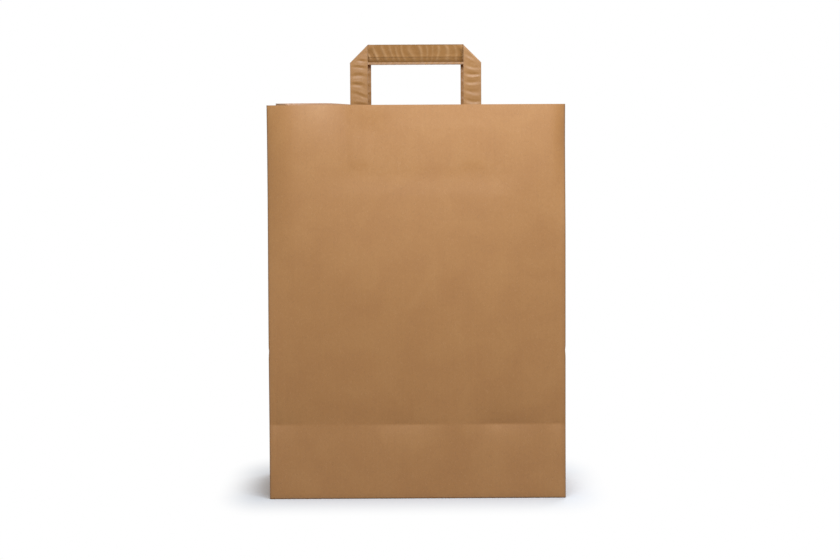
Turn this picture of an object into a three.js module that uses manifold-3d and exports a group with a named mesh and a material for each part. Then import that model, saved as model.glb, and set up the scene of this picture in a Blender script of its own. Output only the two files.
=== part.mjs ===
// Paper carrier bag with flat folded handles, standing open. Millimetres, +Z up, front panel towards -Y,
// origin at the middle of the base, on the surface that the bag stands on.

import * as THREE from "three";
import { mergeVertices } from "three/addons/utils/BufferGeometryUtils.js";
import Module from "manifold-3d";

const wasm = await Module();
wasm.setup();

// Bag body, one folded and glued sheet of kraft paper
const BAG_WIDTH = 320; // front and back panels, side fold to side fold
const BAG_DEPTH = 160; // gusset laid flat, and the block bottom from front to back
const BAG_HEIGHT = 425; // bottom fold to cut mouth, measured along the paper
const PAPER = 0.15; // one thickness of paper
const CREASE_INSET = 2; // how far the crease across the front panel is drawn in
const SEAM_LAP = 25; // outer lap of the side seam, from the back panel's fold to the raw edge
const BOTTOM_LAP = 24; // overlap of the two long bottom flaps along the middle of the base

// Handles, each one strip of paper folded lengthways into a flat band
const STRIP_WIDTH = 19; // width of the band
const STRIP_PLIES = 5; // thicknesses of paper in the band, without the last ply
const LAST_PLY = 14; // width of the band's last ply, from its fold to its raw edge
const HANDLE_WIDTH = 140; // over the outer edges of the two legs
const HANDLE_RISE = 64; // mouth of the bag to the top of the handle's bar
const LEG_TUCK = 65; // length of each leg inside the mouth
const FOLD_GAP = 1; // opening inside a folded corner, between leg and bar

// Patches that glue the handles inside the panels
const PATCH_MARGIN = 10; // patch beyond the outer edges of the legs
const PATCH_HEIGHT = 50;
const PATCH_DROP = 20; // mouth of the bag to the patch's upper edge
const PATCH_RAMP = 3; // length in which the patch climbs from the panel on to a leg

const GLUE = 0.3; // clearance of every glued joint between two pieces
const BITE = PAPER / 5; // depth by which plies of one piece run into each other
const BEND_STEPS = 6; // facets round a folded corner of the handle

// Sizes that follow from the folds. The bag folds flat along a crease half a gusset above the base, so the
// lengths of the paper fix where each fold stands once the crease is drawn in.
const halfWidth = BAG_WIDTH / 2;
const halfDepth = BAG_DEPTH / 2;
const lean = Math.asin(CREASE_INSET / halfDepth); // inward lean of the panels above the base
const tilt = Math.acos((1 - Math.sin(lean)) / Math.cos(lean)); // inward tilt of the gusset's bottom triangle
const footHeight = 4 * PAPER; // upright foot of the walls, one ply higher than the stacked bottom flaps
const flapLength = halfDepth + BOTTOM_LAP / 2;

// Sizes of the handles, seen from the panel that carries them: X along the panel, Y from its inner face into
// the bag, Z up from the mouth.
const bandThickness = STRIP_PLIES * PAPER;
const legOuter = HANDLE_WIDTH / 2;
const legInner = legOuter - STRIP_WIDTH;
const barUnder = HANDLE_RISE - STRIP_WIDTH;
const legBack = GLUE + bandThickness;
const barFront = legBack + FOLD_GAP;
const barBack = barFront + bandThickness;

const kraft = new THREE.MeshStandardMaterial({ color: 0xb48559, roughness: 0.75, metalness: 0 });
const kraftBand = new THREE.MeshStandardMaterial({ color: 0xb98c60, roughness: 0.7, metalness: 0 });

// Turns a closed geometry into a solid that can be joined or cut.
function toSolid(geometry) {
  const bare = geometry.clone();
  bare.deleteAttribute("normal");
  bare.deleteAttribute("uv");
  const merged = mergeVertices(bare);
  const vertProperties = new Float32Array(merged.attributes.position.array);
  const triVerts = new Uint32Array(merged.index.array);
  return new wasm.Manifold(new wasm.Mesh({ numProp: 3, vertProperties, triVerts }));
}

// Turns a finished solid back into a geometry.
function toGeometry(solid) {
  const mesh = solid.getMesh();
  const geometry = new THREE.BufferGeometry();
  geometry.setAttribute("position", new THREE.BufferAttribute(mesh.vertProperties, 3));
  geometry.setIndex(new THREE.BufferAttribute(mesh.triVerts, 1));
  geometry.computeVertexNormals();
  return geometry;
}

// Joins several geometries of one piece of paper.
function join(geometries) {
  return toGeometry(geometries.map(toSolid).reduce((joined, solid) => joined.add(solid)));
}

// A flat ply lying at height z.
function lyingPly(outline, z, thickness) {
  const shape = new THREE.Shape(outline.map(([x, y]) => new THREE.Vector2(x, y)));
  return new THREE.ExtrudeGeometry(shape, { depth: thickness, bevelEnabled: false }).translate(0, 0, z);
}

// A flat ply standing upright, with its outline in X and Z, from y = front to y = back.
function standingPly(outline, front, back) {
  return lyingPly(outline, 0, back - front).rotateX(Math.PI / 2).translate(0, back, 0);
}

// One level of the bag's wall, anticlockwise from above, mirrored from the folds of the right-hand side.
function wallRing(front, centre, back) {
  const mirrored = (fold) => new THREE.Vector3(-fold.x, fold.y, fold.z);
  return [mirrored(front), front, centre, back, mirrored(back), mirrored(centre)];
}

// The same level at the inner face of the paper, mitred at every fold.
function insetRing(ring, distance) {
  const inward = (from, to) => new THREE.Vector2(from.y - to.y, to.x - from.x).normalize();
  return ring.map((fold, i) => {
    const before = inward(ring.at(i - 1), fold);
    const after = inward(fold, ring[(i + 1) % ring.length]);
    const mitre = before.clone().add(after).multiplyScalar(distance / (1 + before.dot(after)));
    return new THREE.Vector3(fold.x + mitre.x, fold.y + mitre.y, fold.z);
  });
}

// Triangles between two levels. A facet that isn't flat is creased along the diagonal nearer the bag's middle.
function wallBand(first, second) {
  return first.flatMap((a, i) => {
    const next = (i + 1) % first.length;
    const [b, c, d] = [first[next], second[next], second[i]];
    const creaseAC = Math.hypot(a.x + c.x, a.y + c.y) <= Math.hypot(b.x + d.x, b.y + d.y);
    return creaseAC ? [a, b, c, a, c, d] : [a, b, d, b, c, d];
  });
}

// The levels of the bag's outer face: base, top of the foot, crease and mouth.
function wallLevels() {
  const panelRun = BAG_HEIGHT - halfDepth;
  const sideFold = (y, z) => new THREE.Vector3(halfWidth, y, z);
  const creaseRise = halfDepth * Math.cos(lean);
  const frontCrease = sideFold(CREASE_INSET - halfDepth, creaseRise);
  const backCrease = sideFold(halfDepth - CREASE_INSET, creaseRise);
  const apex = new THREE.Vector3(halfWidth - halfDepth * Math.sin(tilt), 0, halfDepth * Math.cos(tilt));

  // Above the crease the front panel stands upright, and the back panel keeps its lean up to the mouth.
  const frontMouth = sideFold(frontCrease.y, creaseRise + panelRun);
  const backMouth = sideFold(halfDepth - BAG_HEIGHT * Math.sin(lean), BAG_HEIGHT * Math.cos(lean));
  const halfMouth = (backMouth.y - frontMouth.y) / 2;
  const gussetTuck = Math.sqrt(halfDepth ** 2 - halfMouth ** 2);
  const gussetMouth = new THREE.Vector3(halfWidth - gussetTuck, (frontMouth.y + backMouth.y) / 2, 0);
  const spread = Math.hypot(gussetMouth.x - apex.x, gussetMouth.y);
  gussetMouth.z = apex.z + Math.sqrt(panelRun ** 2 - spread ** 2);

  const footRing = (z) => wallRing(sideFold(-halfDepth, z), sideFold(0, z), sideFold(halfDepth, z));
  return {
    rings: [
      footRing(0),
      footRing(footHeight),
      wallRing(frontCrease, apex, backCrease),
      wallRing(frontMouth, gussetMouth, backMouth),
    ],
    frontMouth,
    backMouth,
  };
}

// Front panel, back panel and both gussets, open at the mouth and at the base.
function paperTube(rings) {
  const inner = rings.map((ring) => insetRing(ring, PAPER));
  const loop = [...rings, ...inner.reverse()];
  const facets = loop.flatMap((ring, i) => wallBand(ring, loop[(i + 1) % loop.length]));
  return new THREE.BufferGeometry().setFromPoints(facets);
}

// Outer lap of the glued side seam, flat on the back panel beside its left-hand fold.
function seamLap() {
  const left = PAPER - halfWidth;
  const right = SEAM_LAP - halfWidth;
  const low = footHeight;
  const high = BAG_HEIGHT - footHeight;
  const outline = [[left, low], [right, low], [right, high], [left, high]];
  return standingPly(outline, -BITE, PAPER).rotateX(lean).translate(0, halfDepth, 0);
}

// Block bottom: side flaps inside, then the front flap, then the back flap outside, each long flap with its
// ends folded in at 45 degrees.
function bottomFlaps() {
  const edgeX = halfWidth - PAPER / 2;
  const edgeY = halfDepth - PAPER / 2;
  const endX = edgeX - flapLength;
  const endY = edgeY - flapLength;
  const longFlap = (side) => [
    [-edgeX, side * edgeY], [edgeX, side * edgeY], [endX, side * endY], [-endX, side * endY],
  ];
  const sideFlap = (side) => [
    [side * edgeX, -edgeY], [side * edgeX, edgeY], [side * endX, edgeY], [side * endX, -edgeY],
  ];
  return [
    lyingPly(longFlap(1), 0, PAPER + BITE),
    lyingPly(longFlap(-1), PAPER, PAPER + BITE),
    lyingPly(sideFlap(-1), 2 * PAPER, PAPER),
    lyingPly(sideFlap(1), 2 * PAPER, PAPER),
  ];
}

// One leg of a handle with its chamfered fold line at the top, and the last ply on the leg's back.
function handleLeg(side) {
  const plyEdge = legInner + LAST_PLY;
  const band = [
    [side * legOuter, -LEG_TUCK], [side * legInner, -LEG_TUCK],
    [side * legInner, HANDLE_RISE], [side * legOuter, barUnder],
  ];
  const lastPly = [
    [side * plyEdge, -LEG_TUCK], [side * legInner, -LEG_TUCK],
    [side * legInner, HANDLE_RISE], [side * plyEdge, HANDLE_RISE - LAST_PLY],
  ];
  return [standingPly(band, GLUE, legBack), standingPly(lastPly, legBack - BITE, legBack + PAPER)];
}

// The bar across the top, behind the legs. Turned over by the folds, it shows the last ply in front.
function handleBar() {
  const plyLow = HANDLE_RISE - LAST_PLY;
  const plyEnd = legInner + LAST_PLY;
  const band = [
    [-legOuter, barUnder], [legOuter, barUnder], [legInner, HANDLE_RISE], [-legInner, HANDLE_RISE],
  ];
  const lastPly = [
    [-plyEnd, plyLow], [plyEnd, plyLow], [legInner, HANDLE_RISE], [-legInner, HANDLE_RISE],
  ];
  return [standingPly(band, barFront, barBack), standingPly(lastPly, barFront - PAPER, barFront + BITE)];
}

// The round bend where the band turns over from leg to bar along a 45 degree line, trimmed to the band's edges.
function cornerBend(side) {
  const middle = (legBack + barFront) / 2;
  const arm = -bandThickness;
  const section = new THREE.Shape();
  section.moveTo(arm, GLUE);
  section.absarc(0, middle, FOLD_GAP / 2 + bandThickness, -Math.PI / 2, Math.PI / 2, false);
  section.lineTo(arm, barBack);
  section.lineTo(arm, barFront);
  section.absarc(0, middle, FOLD_GAP / 2, Math.PI / 2, -Math.PI / 2, true);
  section.lineTo(arm, legBack);
  const run = 2 * STRIP_WIDTH;
  const options = { depth: run, bevelEnabled: false, curveSegments: BEND_STEPS };
  const bend = new THREE.ExtrudeGeometry(section, options).translate(0, 0, -run / 2);

  const outward = new THREE.Vector3(side, 0, 1).normalize();
  const inward = new THREE.Vector3(0, 1, 0);
  const along = outward.clone().cross(inward);
  const place = new THREE.Matrix4().makeBasis(outward, inward, along);
  place.setPosition(side * (legOuter + legInner) / 2, 0, (HANDLE_RISE + barUnder) / 2);

  const corner = [
    [side * legOuter, barUnder], [side * legInner, barUnder],
    [side * legInner, HANDLE_RISE], [side * legOuter, HANDLE_RISE],
  ];
  const cornerBlock = standingPly(corner, GLUE - FOLD_GAP, barBack + FOLD_GAP);
  return toGeometry(toSolid(bend.applyMatrix4(place)).intersect(toSolid(cornerBlock)));
}

// A whole handle: two legs, the bar and the two folded corners, one band of paper.
function handle() {
  const sides = [-1, 1];
  return join([...sides.flatMap(handleLeg), ...handleBar(), ...sides.map(cornerBend)]);
}

// A patch pressed down on the panel and over both legs.
function handlePatch() {
  const onPanel = GLUE;
  const onLeg = legBack + PAPER + GLUE;
  const half = legOuter + PATCH_MARGIN;
  const rightHalf = [
    [legInner - PATCH_RAMP, onPanel], [legInner - GLUE, onLeg],
    [legOuter + GLUE, onLeg], [legOuter + PATCH_RAMP, onPanel], [half, onPanel],
  ];
  const leftHalf = rightHalf.map(([x, y]) => [-x, y]).reverse();
  const face = [...leftHalf, ...rightHalf];
  const reverse = face.map(([x, y]) => [x, y + PAPER]).reverse();
  return lyingPly([...face, ...reverse], -PATCH_DROP - PATCH_HEIGHT, PATCH_HEIGHT);
}

// One named piece of the bag.
function piece(name, geometry, material) {
  const mesh = new THREE.Mesh(geometry, material);
  mesh.name = name;
  return mesh;
}

// A handle and its patch, ready to be set on the inner face of a panel at the mouth.
function handleSet(side) {
  const set = new THREE.Group();
  set.add(piece(`${side}_handle`, handle(), kraftBand));
  set.add(piece(`${side}_handle_patch`, handlePatch(), kraft));
  return set;
}

const { rings, frontMouth, backMouth } = wallLevels();
const bag = new THREE.Group();
bag.add(piece("bag_body", join([paperTube(rings), seamLap(), ...bottomFlaps()]), kraft));

const frontSet = handleSet("front");
frontSet.position.set(0, frontMouth.y + PAPER, frontMouth.z);
bag.add(frontSet);

const rearSet = handleSet("rear");
rearSet.position.set(0, backMouth.y - PAPER, backMouth.z);
rearSet.rotation.set(lean, 0, Math.PI);
bag.add(rearSet);

export default bag;
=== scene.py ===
"""Kraft paper carrier bag with flat folded handles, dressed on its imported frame.

The classes hold lengths in millimetres. A finished mesh is brought to metres as it becomes an object.
"""

from __future__ import annotations

import logging
import math
from dataclasses import dataclass, field
from enum import Enum
from typing import Callable, Sequence

import bmesh
import bpy
from mathutils import Matrix, Vector, noise


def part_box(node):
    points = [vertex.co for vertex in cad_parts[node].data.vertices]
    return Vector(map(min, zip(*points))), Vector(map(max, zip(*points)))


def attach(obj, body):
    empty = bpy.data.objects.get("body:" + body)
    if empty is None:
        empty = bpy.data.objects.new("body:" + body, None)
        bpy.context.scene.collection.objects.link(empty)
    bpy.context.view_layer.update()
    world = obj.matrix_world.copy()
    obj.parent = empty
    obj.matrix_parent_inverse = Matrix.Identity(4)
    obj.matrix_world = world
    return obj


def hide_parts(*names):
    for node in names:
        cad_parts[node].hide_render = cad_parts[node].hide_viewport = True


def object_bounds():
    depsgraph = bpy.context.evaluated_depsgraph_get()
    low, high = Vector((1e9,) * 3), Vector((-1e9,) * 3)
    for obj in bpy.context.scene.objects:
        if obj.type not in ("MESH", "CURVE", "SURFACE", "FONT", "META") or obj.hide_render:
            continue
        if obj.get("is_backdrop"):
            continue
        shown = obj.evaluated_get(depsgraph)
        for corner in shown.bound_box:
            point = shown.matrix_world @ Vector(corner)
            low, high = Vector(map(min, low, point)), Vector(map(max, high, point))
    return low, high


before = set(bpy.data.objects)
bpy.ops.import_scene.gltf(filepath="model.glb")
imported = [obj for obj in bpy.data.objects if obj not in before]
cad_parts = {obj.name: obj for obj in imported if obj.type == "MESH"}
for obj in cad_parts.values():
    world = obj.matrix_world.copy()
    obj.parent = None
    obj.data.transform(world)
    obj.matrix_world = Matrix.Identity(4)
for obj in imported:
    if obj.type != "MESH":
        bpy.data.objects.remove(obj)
cad_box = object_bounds()

LOG = logging.getLogger("paper_bag")
MM = 0.001
SHEET_UV = "sheet"
# Vertex attribute of the paper: darkening at folds and edges, partly handling wear and partly painted shade
# of the rounded folds, and below 0 a painted highlight on the crests of the bar's crinkles
WEAR_AND_PAINTED_LIGHT = "wear_and_painted_light_layer"
IN_COLOUR = {"data_type": "RGBA"}  # makes a Mix node mix colours
PAPER = 0.15  # one thickness of kraft
GLUE = 0.3  # clearance of the glued joints between handles, patches and panels
RIM = 1.5  # a face along a cut edge is narrower than this many thicknesses
TOUCH = 0.01  # points nearer than this touch
SHARP = math.radians(50.0)  # a cut edge is drawn sharp where its faces meet at more than this

Sheet = bmesh.types.BMesh
Material = bpy.types.Material
Piece = bpy.types.Object
Socket = bpy.types.NodeSocket
Tree = bpy.types.NodeTree
Pair = tuple[float, float]
Triple = tuple[float, float, float]
Spread = Callable[[float, float], float]  # a value at every place of a flat sheet
Values = dict[str | int, object] | None  # settings or inputs of a node


class Side(Enum):
    """The two panels that carry a handle and its patch."""

    FRONT = "front"
    REAR = "rear"


def ease(value: float, start: float, end: float) -> float:
    """Rises smoothly from 0 at start to 1 at end."""
    share = min(max((value - start) / (end - start), 0.0), 1.0)
    return share * share * (3.0 - 2.0 * share)


def fade(value: float, start: float, end: float) -> float:
    """Falls smoothly from 1 at start to 0 at end."""
    return 1.0 - ease(value, start, end)


def bell(distance: float, spread: float) -> float:
    """A soft bump of height 1, faded out at about twice the spread."""
    return math.exp(-((distance / spread) ** 2))


def waviness(x: float, y: float, size: float, seed: float) -> float:
    """Smooth noise between about -1 and 1 with features of the given size."""
    return noise.noise(Vector((x / size, y / size, seed)))


@dataclass(frozen=True)
class Bump:
    """A soft bump along a line, or a dent where its height is below 0."""

    height: float
    middle: float
    spread: float

    def at(self, place: float) -> float:
        """Gives its height at a place on the line."""
        return self.height * bell(place - self.middle, self.spread)


def stations(start: float, end: float, step: float, hem: float) -> list[float]:
    """Places grid lines on both ends, one hem inside them, and about a step apart between.

    Args:
        start: First line.
        end: Last line.
        step: Wanted distance between lines.
        hem: Distance of the lines beside both ends, which keep a fold crisp.

    Returns:
        The places of all lines in rising order.
    """
    inner = end - start - 2.0 * hem
    count = max(1, round(inner / step))
    return [start] + [start + hem + inner * i / count for i in range(count + 1)] + [end]


def joined(*runs: Sequence[float]) -> list[float]:
    """Joins runs of stations whose ends meet.

    Args:
        runs: Runs of stations in rising order.

    Returns:
        All stations, with each shared end once.
    """
    places = list(runs[0])
    for run in runs[1:]:
        places += list(run)[1:]
    return places


def laid_grid(columns: Sequence[float], rows: Sequence[float]) -> Sheet:
    """Makes a flat sheet whose grid lines lie at the given places.

    Args:
        columns: Places of the lines along X.
        rows: Places of the lines along Y.

    Returns:
        The flat sheet.
    """
    sheet = bmesh.new()
    last_column, last_row = len(columns) - 1, len(rows) - 1
    bmesh.ops.create_grid(sheet, x_segments=last_column, y_segments=last_row, size=1.0)
    for vert in sheet.verts:
        column = round((vert.co.x + 1.0) / 2.0 * last_column)
        row = round((vert.co.y + 1.0) / 2.0 * last_row)
        vert.co = (columns[column], rows[row], 0.0)
    return sheet


def fold_sheet(
    sheet: Sheet, place: Callable[[float, float], Vector], wear_and_painted_light: Spread, grain_along: bool = False
) -> None:
    """Keeps the flat sheet as its UV map and its wear and painted light as an attribute, then folds it.

    Args:
        sheet: The flat sheet, which is changed.
        place: Gives the folded place of a flat point.
        wear_and_painted_light: Gives the darkening of a flat point, up to 1, by handling wear and painted
            shade, and below 0 where a painted highlight pales it.
        grain_along: True where the paper's grain runs along X and not along Y.
    """
    flat = sheet.loops.layers.uv.new(SHEET_UV)
    worn_and_painted_light = sheet.verts.layers.float.new(WEAR_AND_PAINTED_LIGHT)
    for face in sheet.faces:
        face.smooth = True
        for loop in face.loops:
            flat_place = loop.vert.co.yx if grain_along else loop.vert.co.xy
            loop[flat].uv = flat_place * MM
    for vert in sheet.verts:
        x, y = vert.co.x, vert.co.y
        vert[worn_and_painted_light] = wear_and_painted_light(x, y)
        vert.co = place(x, y)


def thicken(sheet: Sheet, thickness: float) -> None:
    """Gives a folded sheet its thickness, with a sharp cut edge.

    Args:
        sheet: The folded sheet, which is changed.
        thickness: Its thickness, on the side away from its normals.
    """
    bmesh.ops.solidify(sheet, geom=sheet.faces[:], thickness=thickness)
    sheet.normal_update()
    for edge in sheet.edges:
        sides = [side.calc_length() for face in edge.link_faces for side in face.edges]
        if min(sides, default=math.inf) < RIM * thickness and edge.calc_face_angle(0.0) > SHARP:
            edge.smooth = False


def finished(sheet: Sheet, name: str, material: Material) -> Piece:
    """Turns a shaped mesh into an object in metres.

    Args:
        sheet: The shaped mesh in millimetres, which is freed.
        name: Name of the piece.
        material: Its finish.

    Returns:
        The new object, at the origin.
    """
    bmesh.ops.transform(sheet, matrix=Matrix.Scale(MM, 4), verts=sheet.verts)
    mesh = bpy.data.meshes.new(name)
    sheet.to_mesh(mesh)
    sheet.free()
    mesh.materials.append(material)
    piece = bpy.data.objects.new(name, mesh)
    bpy.context.scene.collection.objects.link(piece)
    return piece


def hand_over(piece: Piece, node: str) -> None:
    """Lets a piece stand for its CAD node, on the bag's one body, and reports it.

    Args:
        piece: The piece.
        node: Name of the CAD node.
    """
    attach(piece, "root")
    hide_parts(node)
    LOG.info("%s: %d faces", piece.name, len(piece.data.polygons))


def linear(colour: str) -> tuple[float, float, float, float]:
    """Turns an sRGB hex colour into linear RGBA.

    Args:
        colour: The colour, such as #B27C41.

    Returns:
        The linear colour, with an alpha of 1.
    """
    parts = [int(colour[i : i + 2], 16) / 255.0 for i in (1, 3, 5)]
    red, green, blue = [c / 12.92 if c <= 0.04045 else ((c + 0.055) / 1.055) ** 2.4 for c in parts]
    return red, green, blue, 1.0


def add_node(tree: Tree, kind: str, settings: Values = None, inputs: Values = None) -> bpy.types.Node:
    """Adds a node with its settings, values and links.

    Args:
        tree: Node tree that gets the node.
        kind: Type name of the node.
        settings: Properties of the node by name.
        inputs: Values or output sockets by name or number of the input.

    Returns:
        The new node.
    """
    node = tree.nodes.new(kind)
    for key, value in (settings or {}).items():
        setattr(node, key, value)
    for key, value in (inputs or {}).items():
        if isinstance(value, Socket):
            tree.links.new(value, node.inputs[key])
        else:
            node.inputs[key].default_value = value
    return node


@dataclass(frozen=True)
class KraftPaper:
    """Unbleached kraft, machine glazed on one side and left unprinted.

    Long pine fibres give it a warm brown with a cloudy look-through, fine fibre streaks that run with the
    paper machine, a few darker shives, and a soft sheen. Folded edges darken, partly with handling and
    partly as painted shade of the rounded folds, and the crests of the band's crinkles are paled as a
    painted highlight.
    """

    name: str
    body: str = "#B27C41"
    pale: str = "#C08C51"
    dark: str = "#A26B33"
    fleck: str = "#D2A87A"
    shive: str = "#7E5530"
    # Dark tint at folds and edges: partly handling wear, partly painted shade of the rounded folds and the
    # bottom edge
    worn_and_painted_light: str = "#74522F"
    crest_highlight_share: float = 0.4  # how far the painted highlight pales a crest of the bar's crinkles
    tones: Pair = (0.25, 0.75)  # tone at which it is darkest and palest
    roughness: Pair = (0.45, 0.55)
    ior: float = 1.76
    cloud: Pair = (38.0, 38.0)  # mm across and along the grain, cloudiness of the sheet
    mottle: Pair = (3.2, 3.2)
    fibre: Pair = (0.4, 3.0)  # real fibres are 0.03 mm wide and are drawn coarser so that they show
    streak: Pair = (2.4, 160.0)  # machine-direction streaks
    speck: Pair = (0.5, 2.6)  # sparse bright fibres and dark shives
    speck_range: Pair = (0.76, 0.86)  # noise over which they come up
    speck_curl: float = 1.4
    fleck_turns: Pair = (38.0, -20.0)  # degrees to the grain
    shive_turns: Pair = (-58.0, 12.0)
    fleck_share: float = 0.26  # how strongly they show
    shive_share: float = 0.34
    mottle_range: Pair = (0.3, 0.7)  # noise over which the mottle changes the gloss
    bump_height: float = 0.03  # mm
    bump_strength: float = 0.5
    bump_mottle: float = 0.6  # share of the mottle in the bump

    def grain(
        self, tree: Tree, flat: Socket, size: Pair, turn: float = 0.0, detail: int = 0, curl: float = 0.4
    ) -> Socket:
        """Adds noise on the flat sheet.

        Args:
            tree: Node tree of the finish.
            flat: Place on the flat sheet.
            size: Size of its features across and along the grain, in mm.
            turn: Angle of its grain to the sheet's, in degrees.
            detail: Number of finer layers.
            curl: How far its features are bent.

        Returns:
            The noise, about 0.5 in the middle.
        """
        scale = (size[0] * MM, size[1] * MM, 1.0)
        turned = {"Vector": flat, "Rotation": (0.0, 0.0, math.radians(turn)), "Scale": scale}
        placed = add_node(tree, "ShaderNodeMapping", {"vector_type": "TEXTURE"}, turned).outputs[0]
        layers = {"Vector": placed, "Scale": 1.0, "Detail": detail, "Distortion": curl}
        return add_node(tree, "ShaderNodeTexNoise", {"noise_dimensions": "2D"}, layers).outputs["Fac"]

    def material(self) -> Material:
        """Builds the finish on the sheet's own UV map, so that grain follows every fold.

        Returns:
            The finish.
        """
        material = bpy.data.materials.new(self.name)
        material.use_nodes = True
        tree = material.node_tree
        shader = tree.nodes["Principled BSDF"]
        flat = add_node(tree, "ShaderNodeUVMap", {"uv_map": SHEET_UV}).outputs["UV"]

        # Each pattern has its size, number of finer layers and share of the tone
        tone = 0.5
        grains: dict[str, Socket] = {}
        for label, size, detail, share in (
            ("cloud", self.cloud, 3, 0.22),
            ("mottle", self.mottle, 3, 0.12),
            ("fibre", self.fibre, 2, 0.14),
            ("streak", self.streak, 1, 0.05),
        ):
            grains[label] = self.grain(tree, flat, size, detail=detail)
            centred = {0: grains[label], 1: 0.5}
            centred = add_node(tree, "ShaderNodeMath", {"operation": "SUBTRACT"}, centred).outputs[0]
            added = {0: centred, 1: share, 2: tone}
            tone = add_node(tree, "ShaderNodeMath", {"operation": "MULTIPLY_ADD"}, added).outputs[0]

        ramp = add_node(tree, "ShaderNodeValToRGB", {}, {"Fac": tone})
        stops = ramp.color_ramp.elements
        stops[0].position, stops[1].position = self.tones
        stops[0].color, stops[1].color = linear(self.dark), linear(self.pale)
        stops.new(0.5).color = linear(self.body)
        colour = ramp.outputs["Color"]

        # Bright fibres and dark shives lie at odd angles in the sheet
        specks = [(turn, self.fleck, self.fleck_share) for turn in self.fleck_turns]
        specks += [(turn, self.shive, self.shive_share) for turn in self.shive_turns]
        low, high = self.speck_range
        for turn, tint, strength in specks:
            speck = self.grain(tree, flat, self.speck, turn, curl=self.speck_curl)
            shown = {"Value": speck, "From Min": low, "From Max": high, "To Max": strength}
            share = add_node(tree, "ShaderNodeMapRange", {}, shown).outputs["Result"]
            mixed = {"Factor": share, "A": colour, "B": linear(tint)}
            colour = add_node(tree, "ShaderNodeMix", IN_COLOUR, mixed).outputs["Result"]

        # Fold lines darken, more where the sheet is mottled, partly as handling wear and partly as painted
        # shade of the rounded folds; the bar's crinkle crests are paled as a painted highlight
        wear_and_painted_light = add_node(tree, "ShaderNodeAttribute", {"attribute_name": WEAR_AND_PAINTED_LIGHT}).outputs["Fac"]
        for tint, share in ((self.worn_and_painted_light, grains["mottle"]), (self.fleck, -self.crest_highlight_share)):
            rubbed = {"operation": "MULTIPLY", "use_clamp": True}
            rubbed = add_node(tree, "ShaderNodeMath", rubbed, {0: wear_and_painted_light, 1: share}).outputs[0]
            mixed = {"Factor": rubbed, "A": colour, "B": linear(tint)}
            colour = add_node(tree, "ShaderNodeMix", IN_COLOUR, mixed).outputs["Result"]
        tree.links.new(colour, shader.inputs["Base Color"])

        ends = ("From Min", "From Max", "To Min", "To Max")
        shine = dict(zip(ends, (*self.mottle_range, *self.roughness)))
        gloss = add_node(tree, "ShaderNodeMapRange", {}, {"Value": grains["mottle"], **shine})
        tree.links.new(gloss.outputs["Result"], shader.inputs["Roughness"])
        shader.inputs["IOR"].default_value = self.ior

        added = {0: grains["mottle"], 1: self.bump_mottle, 2: grains["fibre"]}
        relief = add_node(tree, "ShaderNodeMath", {"operation": "MULTIPLY_ADD"}, added).outputs[0]
        raised = {"Height": relief, "Strength": self.bump_strength, "Distance": self.bump_height * MM}
        bump = add_node(tree, "ShaderNodeBump", {}, raised)
        tree.links.new(bump.outputs["Normal"], shader.inputs["Normal"])
        return material


@dataclass(frozen=True)
class Fold:
    """A fold that runs up the bag, through its points at the base, the crease and the mouth."""

    along: float  # place on the flat sheet
    base: Vector
    crease: Vector
    mouth: Vector
    corner: bool  # at a corner of the bag, not in the middle of a gusset


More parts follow.
